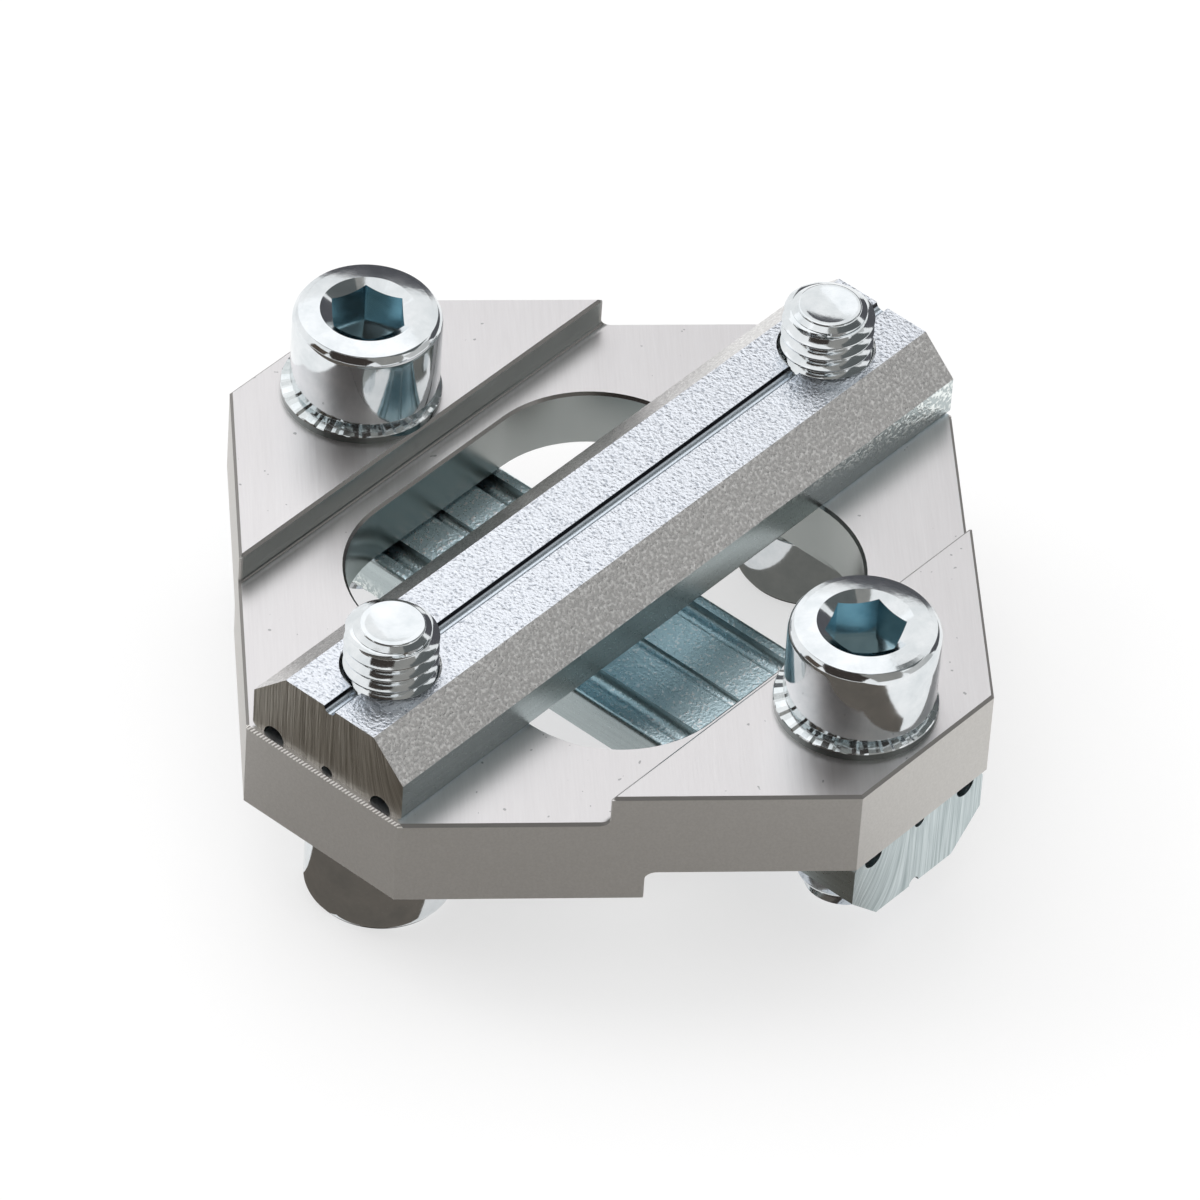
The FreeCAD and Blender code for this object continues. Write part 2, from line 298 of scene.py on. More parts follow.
# %% Burr at the ends of the channels
burr_pitch = 0.34 * mm
burr_start = plate_high.x - 0.32 * mm
at_end_x, at_end_y = (abs(part).between(burr_start, burr_start + 0.01 * mm) for part in (x, y))
in_channel = (0 - abs(z)).between(-floor_height - 0.1 * mm, -floor_height)
teeth = aluminium.add("ShaderNodeTexWave", {"bands_direction": "X"},
                      {"Vector": aluminium.vector(x + y, z * 0.5, 0), "Scale": math.pi / 10 / burr_pitch,
                       "Distortion": 0.6, "Detail": 2.0, "Detail Scale": 2.0}, "Fac")
burr = (at_end_x + at_end_y) * in_channel * chamfered
burr_colour = aluminium.blend(teeth.between(0.25, 0.6), (0.42, 0.40, 0.38), (1.0, 0.98, 0.95))
colour = aluminium.blend(burr, colour, burr_colour)
aluminium.feed("Base Color", colour)
aluminium.feed("Metallic", 1 - side * 0.20)
aluminium.feed("Roughness", 0.24 + (0.07 + grain * 0.10) * flat + side * 0.36 + clouds * 0.04)
aluminium.relief(grain * flat + sand * side + teeth * burr * 2, 0.012 * mm, 0.6)
print("plate material has", len(aluminium.tree.nodes), "nodes")

# %% [markdown]
# The slot bars are drawn steel with a zinc coat. The lower bar is the upper one turned by a quarter and
# upside down, so their material works in the bar's own directions: along it, across it and out of its
# channel.

# %% Directions on a bar
def bar_directions(zinc, quarter_turned):
    """Along, across, height, how far a face points to the bar's end, and how far out of the channel."""
    x, y, z = zinc.point.parts()
    facing_x, facing_y, facing_z = zinc.facing.parts()
    if quarter_turned:
        return y, x, z, abs(facing_y), 0 - facing_z
    return x, y, z, abs(facing_x), facing_z


# %% [markdown]
# The top of the coat is painted bright, as lit, and the flanks darker, as shaded. Tiny crystals in the coat
# tilt every way, so the top gets painted dark specks and the flanks painted light glints. The upright sides
# below are smooth and scuffed towards one end, and the base is bluish. All of them come from the same
# noises, so that grains run on across the edges.

# %% Coat, sides and base of a bar
grain_size = 0.30 * mm


def grainy_coat(zinc, fine, dust, top):
    """The coat on the top and the flanks, with painted light on the top, painted shade on the flanks and
    painted glints on both.
    """
    # Painted glints: dark specks on the top and light ones on the flanks, where tilted crystals reflect.
    painted_dark_specks = (0 - fine).between(-0.42, -0.28)
    painted_glints = fine.between(0.46, 0.72)
    # Painted light and shade: the top is a lit copy of the coat and the flanks a shaded one.
    painted_lit_top_colour = zinc.blend(painted_dark_specks, (0.86, 0.90, 0.96), (0.44, 0.48, 0.54))
    painted_shaded_flank_colour = zinc.blend(painted_glints, (0.58, 0.57, 0.555), (1.0, 0.99, 0.97))
    coat = zinc.blend(top, painted_shaded_flank_colour, painted_lit_top_colour)
    return zinc.blend(dust * 0.3, coat, (0.70, 0.70, 0.72))


def smooth_sides(zinc, drawn, patches, scuffed):
    """The upright sides, with bright scuffs."""
    sides = zinc.blend(drawn * 0.6 + patches * 0.4, (0.35, 0.40, 0.41), (0.57, 0.64, 0.64))
    return zinc.blend(scuffed, sides, (0.92, 0.97, 0.95))


def bluish_base(zinc, drawn, patches, fine):
    """The base, with a few light specks."""
    base = zinc.blend(drawn * 0.5 + patches * 0.5, (0.50, 0.66, 0.72), (0.78, 0.93, 0.98))
    return zinc.blend(fine.between(0.60, 0.66), base, (0.95, 0.98, 1.0))


# %% [markdown]
# The sawn ends have upright streaks from the saw blade, which lean on one side, and a bright rim on their
# rounded edges, which is partly the burr where the blade came out and partly a painted highlight. The line
# along the middle of the top is a round groove, whose steep walls carry painted shade, nearly black, and
# whose bottom is bright. Masks put all of it in place, and a relief of small grains lies over it.

# %% Bar material
def saw_streaks(zinc, along, across, height):
    """The streaks on the sawn ends, from 0 to 1."""
    lean = (0 - across).between(1 * mm, 7 * mm)
    streak_way = zinc.vector(along * 40, (across - height * lean * 0.45) * 6500, height * 140)
    return zinc.noise(streak_way, 1.0, 2.0, 0.6).between(0.30, 0.78)


def slot_bar_finish(name, quarter_turned, end_dark, end_light):
    """The whole material of a bar, with the two tones of its sawn ends."""
    zinc = Finish(name, {"Metallic": 1.0})
    along, across, height, facing_end, facing_up = bar_directions(zinc, quarter_turned)
    fine = zinc.noise(zinc.point, 1 / grain_size, 1.0)
    dust = zinc.noise(zinc.point, 6500.0, 1.0)
    patches = zinc.noise(zinc.point, 160.0, 3.0)
    drawn = zinc.noise(zinc.vector(along * 90, across * 3800, height * 3800), 1.0, 2.0)
    streaks = saw_streaks(zinc, along, across, height)
    end = facing_end.between(0.90, 0.97)
    far_along = abs(along).between(bar_high.x - 1.7 * mm, bar_high.x - 1.5 * mm)
    end_rim = facing_end.between(0.2, 0.3) * (1 - end) * far_along
    coated = facing_up.between(0.3, 0.6)
    top = facing_up.between(0.85, 0.95)
    base = (0 - facing_up).between(0.5, 0.8)
    one_end = (abs(height) + along * 0.15).between(8.0 * mm, 9.6 * mm)
    scuffed = fine.between(0.46, 0.60) * one_end * (1 - coated)
    depth = bar_high.z - abs(height)
    below_top = depth.between(0.02 * mm, 0.06 * mm) * (0 - depth).between(-0.80 * mm, -0.75 * mm)
    in_groove = (groove_radius - abs(across)).between(-0.06 * mm, -0.02 * mm) * below_top
    # Painted shade: the groove's steep walls are nearly black, and its bottom is bright.
    groove_colour_with_painted_shade = zinc.blend(facing_up.between(0.58, 0.72), (0.03, 0.03, 0.035), (0.80, 0.88, 0.96))
    sides_colour = smooth_sides(zinc, drawn, patches, scuffed)
    colour = zinc.blend(base, sides_colour, bluish_base(zinc, drawn, patches, fine))
    colour = zinc.blend(coated, colour, grainy_coat(zinc, fine, dust, top))
    colour = zinc.blend(in_groove, colour, groove_colour_with_painted_shade)
    colour = zinc.blend(end, colour, zinc.blend(streaks, end_dark, end_light))
    # A bright rim on the ends' rounded edges: partly the burr where the blade came out, partly a painted
    # highlight.
    colour = zinc.blend(end_rim * fine.between(0.30, 0.42), colour, (0.98, 0.97, 0.95))
    zinc.feed("Base Color", colour)
    zinc.feed("Roughness", 0.24 + dust * 0.10 + end * 0.15)
    grains = (fine + dust * 0.15) * (coated + base * 0.6 + scuffed) * (1 - end) * (1 - in_groove)
    zinc.relief(grains + drawn * 0.15 * (1 - coated) + streaks * end * 0.3, 0.07 * mm, 0.8)
    return zinc.material


upper_bar_metal = slot_bar_finish("zinc_plated_bar_upper", False, (0.34, 0.32, 0.28), (0.86, 0.84, 0.77))
lower_bar_metal = slot_bar_finish("zinc_plated_bar_lower", True, (0.42, 0.49, 0.50), (0.80, 0.87, 0.88))
print("bar materials:", upper_bar_metal.name, lower_bar_metal.name)

# %% [markdown]
# The cap screws and washers have a bright bluish zinc coat, nearly a mirror. Forging left the metal a
# little wavy, which a gentle relief shows where the mirror meets a dark edge. The walls of the sockets are
# duller and take a darker, bluer colour, which is painted shade in the recess, and the upright faces of the
# washers take a darker colour, which is a painted dark reflection.

# %% Screw and washer materials
def bright_zinc(name, dark, light, low_roughness, upright_painted_dark=None):
    """Bright zinc in two tones, with a painted dark tone, a painted reflection, for upright faces if one is
    given.
    """
    zinc = Finish(name, {"Metallic": 1.0})
    clouds = zinc.noise(zinc.point, 420.0, 4.0, 0.6)
    waves = zinc.noise(zinc.point, 900.0, 3.0)
    colour = zinc.blend(clouds.between(0.3, 0.7), dark, light)
    if upright_painted_dark:
        facing_z = abs(zinc.facing.parts()[2])
        colour = zinc.blend(facing_z.between(0.25, 0.45), upright_painted_dark, colour)
    zinc.feed("Base Color", colour)
    zinc.feed("Roughness", low_roughness + clouds * 0.08)
    zinc.relief(waves, 0.014 * mm, 0.5)
    return zinc.material


screw_metal = bright_zinc("bright_zinc_screw", (0.68, 0.72, 0.74), (0.84, 0.865, 0.88), 0.05)
# Painted shade: the socket walls are coloured darker and bluer, as in a recess.
socket_metal_painted_shade = bright_zinc("zinc_with_painted_shade_in_socket", (0.30, 0.47, 0.54), (0.42, 0.61, 0.68), 0.16)
# Painted reflection: the washers' upright faces are coloured dark.
washer_metal = bright_zinc("bright_zinc_washer", (0.66, 0.71, 0.72), (0.86, 0.89, 0.90), 0.10,
                           upright_painted_dark=(0.22, 0.24, 0.235))
print("screw and washer materials:", screw_metal.name, washer_metal.name)

# %% [markdown]
# Modelling by hand in a script needs two habits. Everything is deselected before a primitive is added, and
# faces and edges are chosen by a test on where they are. Round pieces grow from a ring of edges, which is
# pulled from one radius and height to the next, and finished pieces have their place in the mesh.

# %% Modelling helpers
def add(kind, **settings):
    """Adds a primitive with nothing else selected."""
    bpy.ops.object.select_all(action="DESELECT")
    kind(**settings)
    bpy.ops.object.transform_apply(location=True, rotation=True, scale=True)
    return bpy.context.object


def choose(piece, mode, test):
    """In edit mode, selects the vertices, edges or faces that pass the test."""
    bpy.ops.mesh.select_mode(type=mode)
    bpy.ops.mesh.select_all(action="DESELECT")
    mesh = bmesh.from_edit_mesh(piece.data)
    group = {"VERT": mesh.verts, "EDGE": mesh.edges, "FACE": mesh.faces}[mode]
    for item in group:
        item.select_set(test(item))
    mesh.select_flush_mode()
    bmesh.update_edit_mesh(piece.data)


def pull_ring(rings):
    """Extrudes the selected ring of edges from each radius and height in the list to the next."""
    for (radius, height), (next_radius, next_height) in zip(rings, rings[1:]):
        bpy.ops.mesh.extrude_region_move(TRANSFORM_OT_translate={"value": (0, 0, next_height - height)})
        share = next_radius / radius
        bpy.ops.transform.resize(value=(share, share, 1), center_override=(0, 0, next_height))


def only(piece):
    """Makes the piece the one selected and active object."""
    bpy.ops.object.select_all(action="DESELECT")
    piece.select_set(True)
    bpy.context.view_layer.objects.active = piece


def cut(piece, cutter):
    """Takes the cutter's shape out of the piece."""
    only(piece)
    boolean = piece.modifiers.new("cut", "BOOLEAN")
    boolean.operation = "DIFFERENCE"
    boolean.solver = "EXACT"
    boolean.object = cutter
    bpy.ops.object.modifier_apply(modifier=boolean.name)
    bpy.data.objects.remove(cutter)


def soften(piece, width, angle):
    """Rounds the edges that are sharper than the angle."""
    only(piece)
    bevel = piece.modifiers.new("soften", "BEVEL")
    bevel.width = width
    bevel.segments = 2
    bevel.limit_method = "ANGLE"
    bevel.angle_limit = math.radians(angle)
    bpy.ops.object.modifier_apply(modifier=bevel.name)


def tidy(piece, angle):
    """Merges doubles, turns the faces outwards and smooths across gentle edges."""
    only(piece)
    bpy.ops.object.mode_set(mode="EDIT")
    bpy.ops.mesh.select_all(action="SELECT")
    bpy.ops.mesh.remove_doubles(threshold=0.0005 * mm)
    bpy.ops.mesh.normals_make_consistent(inside=False)
    bpy.ops.object.mode_set(mode="OBJECT")
    bpy.ops.object.shade_smooth_by_angle(angle=math.radians(angle))


def place_copy(model, name, placement, materials, body, node):
    """A copy of the model with its own mesh, moved to its place, which stands for a node of the frame."""
    piece = bpy.data.objects.new(name, model.data.copy())
    bpy.context.scene.collection.objects.link(piece)
    piece.data.transform(placement)
    for material in materials:
        piece.data.materials.append(material)
    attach(piece, body)
    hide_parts(node)


def middle_of(node):
    """The middle of a round node, seen from above, to the nearest twentieth of a millimetre."""
    low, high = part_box(node)
    step = 0.05 * mm
    return [round((low[axis] + high[axis]) / 2 / step) * step for axis in (0, 1)]


# %% [markdown]
# Each slot bar is a long block with slanted flanks. It starts as a cube whose top face is pulled up and
# narrowed, which slants the flanks. Then three grooves along the base, one along the top and the two holes
# are cut out, and all the sharp edges get the slight rounding that catches the light.

# %% Slot bar
bar_length = bar_high.x - bar_low.x
bar_width = bar_high.y - bar_low.y
bar_height = bar_high.z - bar_low.z
flank_height = 3.3 * mm
bar_top_width = 9.7 * mm
hole_offset = 27.6 * mm
hole_radius = 4.05 * mm
hole_flare = 0.2 * mm
side_groove_radius = 1.1 * mm
side_groove_offset = 5.9 * mm
base_corner_round = 0.5 * mm
bar_edge_round = 0.12 * mm


def cut_groove(bar, radius, across, up):
    """Cuts a round groove along the bar with a rod that is a little longer."""
    cut(bar, add(bpy.ops.mesh.primitive_cylinder_add, vertices=32, radius=radius, depth=bar_length * 1.2,
                 rotation=(0, math.pi / 2, 0), location=(0, across, up)))


def cut_hole(bar, along):
    """Cuts a hole through the bar and flares its upper edge."""
    cut(bar, add(bpy.ops.mesh.primitive_cylinder_add, vertices=64, radius=hole_radius,
                 depth=3 * bar_height, location=(along, 0, bar_height / 2)))
    cut(bar, add(bpy.ops.mesh.primitive_cone_add, vertices=64, radius1=hole_radius - hole_flare,
                 radius2=hole_radius + 2 * hole_flare, depth=3 * hole_flare,
                 location=(along, 0, bar_height - hole_flare / 2)))


def make_bar():
    shoulder = bar_height - flank_height
    bar = add(bpy.ops.mesh.primitive_cube_add, size=1, scale=(bar_length, bar_width, shoulder),
              location=(0, 0, shoulder / 2))
    bpy.ops.object.mode_set(mode="EDIT")
    choose(bar, "FACE", lambda face: face.normal.z > 0.9)
    bpy.ops.mesh.extrude_region_move(TRANSFORM_OT_translate={"value": (0, 0, flank_height)})
    bpy.ops.transform.resize(value=(1, bar_top_width / bar_width, 1))
    choose(bar, "EDGE", lambda edge: all(vertex.co.z < tiny for vertex in edge.verts)
           and abs(edge.verts[0].co.y - edge.verts[1].co.y) < tiny)
    bpy.ops.mesh.bevel(offset=base_corner_round, segments=4, affect="EDGES")
    bpy.ops.object.mode_set(mode="OBJECT")
    cut_groove(bar, side_groove_radius, side_groove_offset, 0)
    cut_groove(bar, side_groove_radius, -side_groove_offset, 0)
    cut_groove(bar, groove_radius, 0, 0)
    cut_groove(bar, groove_radius, 0, bar_height)
    for along in (-hole_offset, hole_offset):
        cut_hole(bar, along)
    soften(bar, bar_edge_round, 25)
    tidy(bar, 35)
    return bar


bar_model = make_bar()
print("slot bar", round(bar_length / mm, 1), "mm long with", len(bar_model.data.polygons), "faces")

# %% [markdown]
# The upper bar lies on the floor of the upper channel. The lower one is the same bar, turned upside down and
# by a quarter. Each takes the place of its plain solid and moves with that solid's body.

# %% Two slot bars
upper_shift = (bar_low.x + bar_high.x) / 2
lower_bar_low, lower_bar_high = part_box("lower_slot_bar")
lower_shift = (lower_bar_low.y + lower_bar_high.y) / 2
place_copy(bar_model, "slot_bar_upper", Matrix.Translation((upper_shift, 0, floor_height)),
           [upper_bar_metal], "upper_bar", "upper_slot_bar")
upside_down = Matrix.Rotation(math.pi, 4, "X")
turned = Matrix.Rotation(math.pi / 2, 4, "Z") @ upside_down
place_copy(bar_model, "slot_bar_lower", Matrix.Translation((0, lower_shift, -floor_height)) @ turned,
           [lower_bar_metal], "lower_bar", "lower_slot_bar")
bpy.data.objects.remove(bar_model)
print("slot bars off the middle by", round(upper_shift / mm, 2), "and", round(lower_shift / mm, 2), "mm")

# %% [markdown]
# A cap screw is forged and then rolled. The head starts as a cylinder: its top is inset a few times, so that
# the outer rings can be lowered to the slight crown that a forged head has, and its rims are rounded. A cone
# cuts the countersink, a six-sided rod cuts the hexagon socket, and a flat cone hollows the socket's floor.

# %% Screw head
head_round = 0.9 * mm
head_crown = 0.32 * mm
head_base_round = 0.2 * mm
head_edge_round = 0.06 * mm
crown_start = 3.6 * mm
crown_rings = 6
socket_corner = 6.0 * mm / math.sqrt(3)
socket_depth = 4.2 * mm
socket_mouth = socket_corner + 0.69 * mm
hollow_radius = 2.7 * mm
hollow_depth = 0.9 * mm


def cut_socket(head):
    """Cuts the countersink, the hexagon and the hollow in its floor."""
    mouth_depth = socket_mouth / math.sqrt(3)
    cut(head, add(bpy.ops.mesh.primitive_cone_add, vertices=128, radius1=0, radius2=2 * socket_mouth,
                  depth=2 * mouth_depth, location=(0, 0, head_height)))
    cut(head, add(bpy.ops.mesh.primitive_cylinder_add, vertices=6, radius=socket_corner,
                  depth=socket_depth, rotation=(0, 0, math.pi / 2),
                  location=(0, 0, head_height - socket_depth / 2)))
    hollow_top = head_height - socket_depth + tiny / 10
    cut(head, add(bpy.ops.mesh.primitive_cone_add, vertices=48, radius1=0, radius2=hollow_radius,
                  depth=hollow_depth, location=(0, 0, hollow_top - hollow_depth / 2)))


def make_head():
    head = add(bpy.ops.mesh.primitive_cylinder_add, vertices=128, radius=head_radius, depth=head_height,
               location=(0, 0, head_height / 2))
    bpy.ops.object.mode_set(mode="EDIT")
    choose(head, "FACE", lambda face: face.normal.z > 0.9)
    for _ in range(crown_rings):
        bpy.ops.mesh.inset(thickness=(head_radius - crown_start) / crown_rings)
    bpy.ops.object.mode_set(mode="OBJECT")
    for vertex in head.data.vertices:
        reach = vertex.co.xy.length
        if vertex.co.z > head_height / 2:
            fall = (reach ** 2 - crown_start ** 2) / (head_radius ** 2 - crown_start ** 2)
            vertex.co.z -= head_crown * max(0, fall)
    bpy.ops.object.mode_set(mode="EDIT")
    rim = 0.999 * head_radius
    choose(head, "EDGE", lambda edge: all(vertex.co.z > head_height / 2 and vertex.co.xy.length > rim
                                          for vertex in edge.verts))
    bpy.ops.mesh.bevel(offset=head_round, segments=6, affect="EDGES")
    choose(head, "EDGE", lambda edge: all(vertex.co.z < tiny for vertex in edge.verts))
    bpy.ops.mesh.bevel(offset=head_base_round, segments=3, affect="EDGES")
    bpy.ops.object.mode_set(mode="OBJECT")
    cut_socket(head)
    soften(head, head_edge_round, 35)
    tidy(head, 30)
    return head


head_model = make_head()
print("screw head with", len(head_model.data.polygons), "faces")

# %% [markdown]
# The thread is a short line of edges, shaped like a single ridge, which the Screw modifier winds into a
# helix. The ridge is given as shares of the pitch and of the thread's depth.

# %% Thread
thread_crest = 3.97 * mm
thread_root = 3.26 * mm
thread_steps = 64
thread_ridge = [(0, 0), (0.10, 0), (0.16, 0.08), (0.41, 0.86), (0.45, 0.98), (0.50, 1), (0.55, 0.98),
                (0.59, 0.86), (0.84, 0.08), (0.90, 0), (1, 0)]


def make_ridge():
    """The outer edge of an upright square, divided and bent to one ridge of the thread."""
    ridge = add(bpy.ops.mesh.primitive_plane_add, size=thread_pitch, rotation=(math.pi / 2, 0, 0),
                location=(thread_crest - thread_pitch / 2, 0, 0))
    bpy.ops.object.mode_set(mode="EDIT")
    choose(ridge, "VERT", lambda vertex: vertex.co.x < thread_crest - thread_pitch / 2)
    bpy.ops.mesh.delete(type="VERT")
    bpy.ops.mesh.select_all(action="SELECT")
    bpy.ops.mesh.subdivide(number_cuts=len(thread_ridge) - 2)
    bpy.ops.object.mode_set(mode="OBJECT")
    upwards = sorted(ridge.data.vertices, key=lambda vertex: vertex.co.z)
    for vertex, (share, height) in zip(upwards, thread_ridge):
        vertex.co.z = share * thread_pitch
        vertex.co.x = thread_root + height * (thread_crest - thread_root)
    return ridge


def wind(ridge):
    """Winds the ridge up into a helix, longer than the screw at both ends."""
    only(ridge)
    helix = ridge.modifiers.new("helix", "SCREW")
    helix.axis = "Z"
    helix.angle = 2 * math.pi
    helix.screw_offset = thread_pitch
    helix.iterations = math.ceil(screw_length / thread_pitch) + 5
    helix.steps = thread_steps
    helix.render_steps = thread_steps
    helix.use_merge_vertices = True
    helix.merge_threshold = 0.001 * mm
    bpy.ops.object.modifier_apply(modifier=helix.name)


# %% [markdown]
# Rolling pushes the metal at a screw's end outwards, which leaves a hollow face with a rounded lip and a flat
# cone round it. The thread is cut to that form, and what passes it is drawn in to the middle and closed:
# below under the cap, and above inside the head.

# %% Ends of the thread
tip_radius = 2.60 * mm
tip_lip = 0.16 * mm
tip_slope = 1.7
tip_dish = 0.16 * mm
tip_clearance = 0.02 * mm


def tip_reach(depth):
    """How far the thread may reach at a depth below the end: a rounded lip, then a flat cone."""
    if depth < tip_lip:
        return tip_radius + math.sqrt(tip_lip ** 2 - (tip_lip - depth) ** 2)
    return tip_radius + tip_lip + (depth - tip_lip) * tip_slope


def shape_ends(thread):
    """Moves the helix to its place and cuts and closes both its ends."""
    start = -screw_length - 1.5 * thread_pitch
    covered = 0.5 * mm
    closing = 1.2 * thread_pitch
    buried = 0.6 * mm
    core = 0.98 * thread_root
    for vertex in thread.data.vertices:
        radius = vertex.co.xy.length
        vertex.co.z += start
        depth = vertex.co.z + screw_length
        if depth < covered:
            wanted = core * max(0, 1 + (depth - covered) / closing)
            vertex.co.z = covered - screw_length
        elif vertex.co.z > buried:
            wanted = radius * max(0, 1 - (vertex.co.z - buried) / closing)
            vertex.co.z = buried
        else:
            wanted = min(radius, tip_reach(depth) - tip_clearance)
        vertex.co.x *= wanted / radius
        vertex.co.y *= wanted / radius


thread = make_ridge()
wind(thread)
shape_ends(thread)
tidy(thread, 40)
print("thread with", len(thread.data.polygons), "faces")

# %% [markdown]
# The cap closes the screw's end. It starts as the middle of the hollow face, and its ring of edges is pulled
# over the lip, down the cone and back in to the middle, inside the thread.

# %% Cap on the screw's end
def make_tip():
    lip_steps = 5
    dish_steps = 6
    rings = [(tip_radius * share / dish_steps, tip_dish * (1 - (share / dish_steps) ** 2))
             for share in range(1, dish_steps + 1)]
    for step in range(1, lip_steps + 1):
        turn = math.pi / 2 * step / lip_steps
        rings.append((tip_radius + tip_lip * math.sin(turn), tip_lip * (1 - math.cos(turn))))
    cone_end = thread_root - tiny / 10
    cap_depth = 0.8 * mm
    rings.append((cone_end, tip_lip + (cone_end - tip_radius - tip_lip) / tip_slope))
    rings += [(cone_end, cap_depth), (0, cap_depth)]
    tip = add(bpy.ops.mesh.primitive_circle_add, vertices=thread_steps, radius=rings[0][0],
              fill_type="TRIFAN", location=(0, 0, rings[0][1]))
    bpy.ops.object.mode_set(mode="EDIT")
    choose(tip, "EDGE", lambda edge: edge.is_boundary)
    pull_ring(rings)
    bpy.ops.mesh.select_all(action="SELECT")
    bpy.ops.transform.translate(value=(0, 0, -screw_length))
    bpy.ops.object.mode_set(mode="OBJECT")
    tidy(tip, 40)
    return tip


tip = make_tip()
print("cap with", len(tip.data.polygons), "faces")

# %% [markdown]
# Head, thread and cap are joined into one mesh, and the walls of the socket take the second material. The
# four screws are copies of it: two with their heads up, two with their heads down, and each with its
# hexagon turned as the screw was left.

# %% Four cap screws
only(head_model)
thread.select_set(True)
tip.select_set(True)
bpy.ops.object.join()
screw_model = head_model
socket_floor = head_height - socket_depth
for face in screw_model.data.polygons:
    in_socket = face.center.z > socket_floor and face.center.xy.length < 1.01 * socket_corner
    face.material_index = 1 if in_socket and abs(face.normal.z) < 0.3 else 0
as_made = Matrix.Identity(4)
socket_turns = {"back": 45, "front": 22, "left": 10, "right": 35}
for side, degrees in socket_turns.items():
    on_top = side in sides_up
    seat = Matrix.Translation((*middle_of("cap_screw_" + side), head_seat if on_top else -head_seat))
    turned = (as_made if on_top else upside_down) @ Matrix.Rotation(math.radians(degrees), 4, "Z")
    place_copy(screw_model, "socket_screw_" + side, seat @ turned, [screw_metal, socket_metal_painted_shade],
               side + "_screw", "cap_screw_" + side)
print("four cap screws with", len(screw_model.data.polygons), "faces each")
bpy.data.objects.remove(screw_model)

# %% [markdown]
# The lock washers are cones with sharp ribs that bite into the head. A ring of edges is pulled up, in and
# down again to make the cone. Its upper side is then stepped like a saw: each rib is a flat that leans a
# little, and falls off steeply at one side.

# %% Ribbed washer
washer_radius = (washer_high.x - washer_low.x) / 2
washer_bore = 4.45 * mm
washer_edge = 0.75 * mm
washer_height = washer_high.z - washer_low.z
rib_count = 42
rib_profile = ((0, 0), (0.36, 0.5), (0.72, 1))
rib_height = 0.13 * mm
rim_round = 0.06 * mm
rim_slant = 0.1 * mm
edge_top = washer_edge - rib_height


def make_ring():
    """The plain cone of the washer, with the vertices for its ribs."""
    washer = add(bpy.ops.mesh.primitive_circle_add, vertices=rib_count * len(rib_profile),
                 radius=washer_radius)
    bpy.ops.object.mode_set(mode="EDIT")
    bpy.ops.mesh.select_all(action="SELECT")
    pull_ring([(washer_radius, 0), (washer_radius, edge_top),
               (washer_radius - rim_round, edge_top + rim_round / 3),
               (washer_bore, washer_height - rib_height), (washer_bore, washer_height - washer_edge),
               (washer_radius - rim_slant, 0)])
    bpy.ops.object.mode_set(mode="OBJECT")
    return washer


def step_ribs(washer):
    """Lifts the upper side to ribs, and moves each vertex to its share of a rib."""
    columns = len(rib_profile)
    slope = (washer_height - washer_edge) / (washer_radius - washer_bore)
    for vertex in washer.data.vertices:
        reach = vertex.co.xy.length
        turn = math.atan2(vertex.co.y, vertex.co.x) / (2 * math.pi) * rib_count
        rib, column = divmod(round(turn * columns), columns)
        share, height = rib_profile[column]
        angle = (rib + share) / rib_count * 2 * math.pi
        upper = vertex.co.z > edge_top - tiny / 2 + (washer_radius - reach) * slope
        if upper and reach < washer_radius - tiny / 10:
            vertex.co.z += rib_height * height
        vertex.co.x, vertex.co.y = reach * math.cos(angle), reach * math.sin(angle)


washer_model = make_ring()
step_ribs(washer_model)
tidy(washer_model, 4)
print("washer with", len(washer_model.data.polygons), "faces")

# %% [markdown]
# Four copies lie on the lands under the heads, two above and two below. They don't turn with the screws, so
# they move with the plate.

# %% Four washers
for side in socket_turns:
    on_top = side in sides_up
    seat = Matrix.Translation((*middle_of("rib_washer_" + side), land_height if on_top else -land_height))
    turned = as_made if on_top else upside_down
    place_copy(washer_model, "lock_washer_" + side, seat @ turned, [washer_metal], "plate",
               "rib_washer_" + side)
bpy.data.objects.remove(washer_model)
print("washers for the screws:", ", ".join(socket_turns))

# %% [markdown]
# The plate's own solid is right as it is, so it stays and only takes its material.

# %% Plate
plate = frame["nodes"]["cross_plate"]
plate.data.materials.clear()
plate.data.materials.append(aluminium.material)
print("plate has", len(plate.data.polygons), "faces")

# %% [markdown]
# The object rests on a white floor. The floor glows a little for the camera, which keeps the shadow light
# and the background white.

# %% Floor
def toward(azimuth, elevation):
    """A direction given by degrees to the right of straight away from the camera, and degrees up."""
    level = math.cos(math.radians(azimuth)) * level_away + math.sin(math.radians(azimuth)) * level_right
    return math.cos(math.radians(elevation)) * level + math.sin(math.radians(elevation)) * Vector((0, 0, 1))


def facing_middle(direction, distance):
    """A placement at that direction whose -Z looks back at the object."""
    return Matrix.Translation(direction * distance) @ direction.to_track_quat("Z", "Y").to_matrix().to_4x4()


floor = add(bpy.ops.mesh.primitive_plane_add, size=6, location=(0, 0, cad_box[0][2] - 0.02 * mm))
floor.name = "floor"
table = Finish("white_table", {"Base Color": (0.88, 0.88, 0.88, 1), "Roughness": 0.9,
                               "Specular IOR Level": 0.0})
plain_white = Value(table, table.shader.outputs[0])
glow = table.add("ShaderNodeEmission", {}, {"Color": (1, 1, 1), "Strength": 1.08})
glow_share = table.seen_directly() * 0.55
table.surface(table.add("ShaderNodeMixShader", {}, {0: glow_share, 1: plain_white, 2: glow}))
floor.data.materials.append(table.material)
print("floor at", round(floor.data.vertices[0].co.z / mm, 2), "mm")

# %% [markdown]
# The room is all white to the camera and in reflections, and a little dimmer where it only gives light. Two
# soft lamps that metal doesn't mirror add the direction to it.

